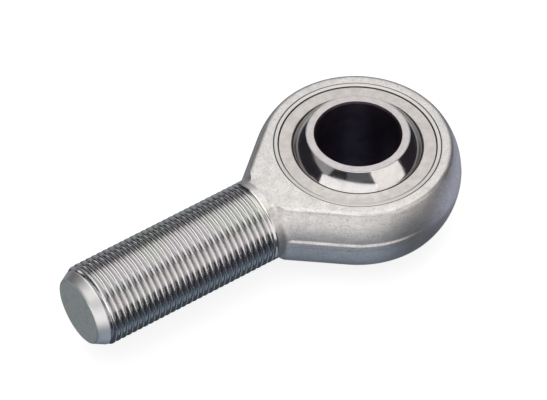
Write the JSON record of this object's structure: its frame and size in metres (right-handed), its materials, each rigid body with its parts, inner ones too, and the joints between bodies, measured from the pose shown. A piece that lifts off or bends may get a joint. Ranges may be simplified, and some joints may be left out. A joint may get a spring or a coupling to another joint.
{
  "type": "rod end bearing",
  "caption": "Male rod end: forged eye on a threaded shank, holding a lined race and a swivelling plated ball with a through bore.",
  "frame": {"origin": "the ball's centre, on the bore's axis midway between the ball's two flat lands", "axes": "+Z along the ball's bore; the shank points along -X; the head's flats face +Z and -Z"},
  "size_m": [0.103, 0.05, 0.025],
  "materials": {
    "plated_forging": "zinc-plated forging, satin, turned and rolled on the shank",
    "race_steel": "ground",
    "liner_fabric": "woven low-friction liner, matte",
    "hard_chrome": "polished hard chrome",
    "ball_steel": "ground lands, bore finely turned"
  },
  "bodies": {
    "rod_end": {"rod_end_body": "plated_forging", "race": "race_steel"},
    "liner": {"sliding_liner": "liner_fabric"},
    "plating": {"ball_plating": "hard_chrome"},
    "inner_ball": {"ball": "ball_steel"}
  },
  "joints": [
    {"name": "tilt_direction", "type": "hinge", "parent": "rod_end", "child": "liner", "pos_m": [0, 0, 0], "axis": [0, 0, 1], "continuous": true},
    {"name": "ball_tilt", "type": "hinge", "parent": "liner", "child": "plating", "pos_m": [0, 0, 0], "axis": [1, 0, 0], "range_deg": [-14, 14]},
    {"name": "ball_spin", "type": "hinge", "parent": "plating", "child": "inner_ball", "pos_m": [0, 0, 0], "axis": [0, 0, 1], "continuous": true}
  ]
}
